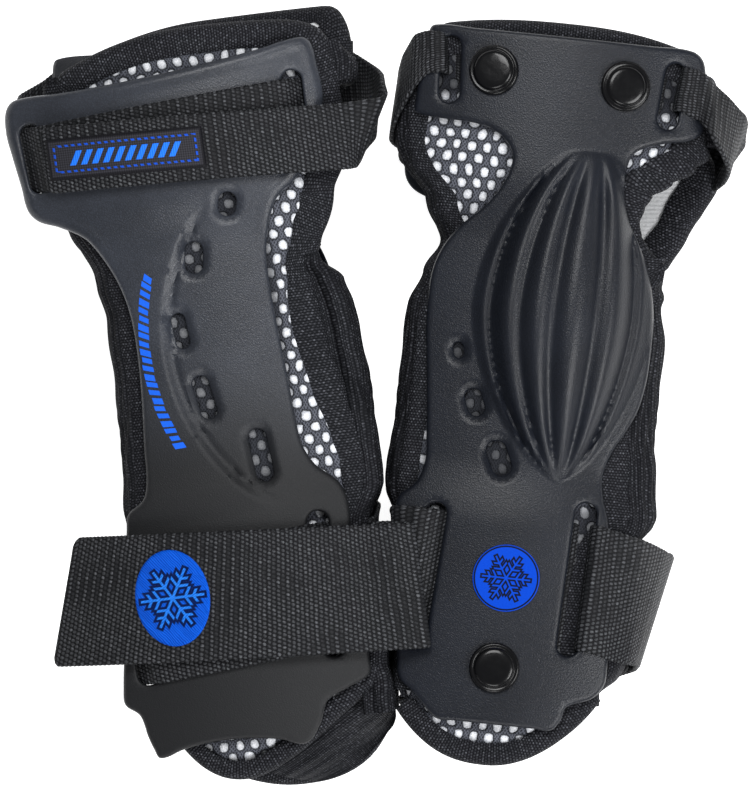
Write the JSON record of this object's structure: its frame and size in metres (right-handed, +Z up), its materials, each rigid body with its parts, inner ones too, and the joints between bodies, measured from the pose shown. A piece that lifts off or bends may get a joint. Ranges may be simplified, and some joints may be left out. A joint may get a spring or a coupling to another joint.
{
  "type": "wrist guard",
  "caption": "Padded sleeve wrist guards for snowboarding with a ribbed domed palm plate, a vented dorsal plate, mesh panels and hook-and-loop webbing straps.",
  "frame": {"origin": "bottom centre of the bounding box of the pair, on the surface they lie on", "axes": "+Z up from the surface, +Y towards the fingers, +X from the guard that lies dorsal side up to the guard that lies palm side up"},
  "size_m": [0.2207, 0.2331, 0.0638],
  "materials": {
    "plate_plastic": "fine leather grain, soft sheen",
    "blue_print": "printed, flat",
    "cap_enamel": "glossy domed",
    "rivet_steel": "plain",
    "mesh_fabric": "black hexagonal mesh over a pale ground",
    "foam": "open foam",
    "lining_fabric": "soft knit",
    "black_knit": "ribbed knit",
    "binding_tape": "woven tape",
    "webbing": "coarse ribbed webbing",
    "hook_tape": "hook pile",
    "label_cloth": "woven patch with a blue stitched border",
    "badge_embroidery": "raised satin stitch"
  },
  "bodies": {
    "left_guard": {"left_dorsal_plate": "plate_plastic", "left_dorsal_stripe": "blue_print", "left_palm_plate": "plate_plastic", "left_palm_disc": "blue_print", "left_rivet_caps": "cap_enamel", "left_rivet_posts": "rivet_steel", "left_rivet_washers": "rivet_steel", "left_dorsal_panel": "mesh_fabric", "left_dorsal_foam": "foam", "left_dorsal_lining": "lining_fabric", "left_palm_panel": "mesh_fabric", "left_palm_foam": "foam", "left_palm_lining": "lining_fabric", "left_finger_side_gusset": "black_knit", "left_thumb_side_gusset": "black_knit", "left_thumb_bridge": "black_knit", "left_dorsal_finger_binding": "binding_tape", "left_palm_finger_binding": "binding_tape", "left_dorsal_forearm_binding": "binding_tape", "left_palm_forearm_binding": "binding_tape", "left_thumb_hole_binding": "binding_tape", "left_hand_strap": "webbing", "left_forearm_strap": "webbing"},
    "left_hand_closure": {"left_hand_strap_flap": "webbing", "left_hand_strap_hook": "hook_tape", "left_hand_strap_label": "label_cloth"},
    "left_forearm_closure": {"left_forearm_strap_flap": "webbing", "left_forearm_strap_hook": "hook_tape", "left_forearm_strap_badge": "badge_embroidery"},
    "right_guard": {"right_dorsal_plate": "plate_plastic", "right_dorsal_stripe": "blue_print", "right_palm_plate": "plate_plastic", "right_palm_disc": "blue_print", "right_rivet_caps": "cap_enamel", "right_rivet_posts": "rivet_steel", "right_rivet_washers": "rivet_steel", "right_dorsal_panel": "mesh_fabric", "right_dorsal_foam": "foam", "right_dorsal_lining": "lining_fabric", "right_palm_panel": "mesh_fabric", "right_palm_foam": "foam", "right_palm_lining": "lining_fabric", "right_finger_side_gusset": "black_knit", "right_thumb_side_gusset": "black_knit", "right_thumb_bridge": "black_knit", "right_dorsal_finger_binding": "binding_tape", "right_palm_finger_binding": "binding_tape", "right_dorsal_forearm_binding": "binding_tape", "right_palm_forearm_binding": "binding_tape", "right_thumb_hole_binding": "binding_tape", "right_hand_strap": "webbing", "right_forearm_strap": "webbing"},
    "right_hand_closure": {"right_hand_strap_flap": "webbing", "right_hand_strap_hook": "hook_tape", "right_hand_strap_label": "label_cloth"},
    "right_forearm_closure": {"right_forearm_strap_flap": "webbing", "right_forearm_strap_hook": "hook_tape", "right_forearm_strap_badge": "badge_embroidery"}
  },
  "joints": [
    {"name": "pair_slide", "type": "slide", "parent": "left_guard", "child": "right_guard", "axis": [1, 0, 0], "range_m": [0, 0.1]},
    {"name": "left_forearm_closure_fold", "type": "hinge", "parent": "left_guard", "child": "left_forearm_closure", "pos_m": [0.01281, -0.05687, 0.0558], "axis": [-0.1374, 0.9905, 0], "range_deg": [0, 120]},
    {"name": "left_hand_closure_fold", "type": "hinge", "parent": "left_guard", "child": "left_hand_closure", "pos_m": [0.00072, 0.0827, 0.0478], "axis": [-0.1374, 0.9905, 0], "range_deg": [0, 120]},
    {"name": "right_forearm_closure_fold", "type": "hinge", "parent": "right_guard", "child": "right_forearm_closure", "pos_m": [0.08592, -0.06936, 0.00808], "axis": [-0.1045, -0.9945, 0], "range_deg": [0, 120]},
    {"name": "right_hand_closure_fold", "type": "hinge", "parent": "right_guard", "child": "right_hand_closure", "pos_m": [0.1077, 0.06903, 0.01608], "axis": [-0.1045, -0.9945, 0], "range_deg": [0, 120]}
  ]
}
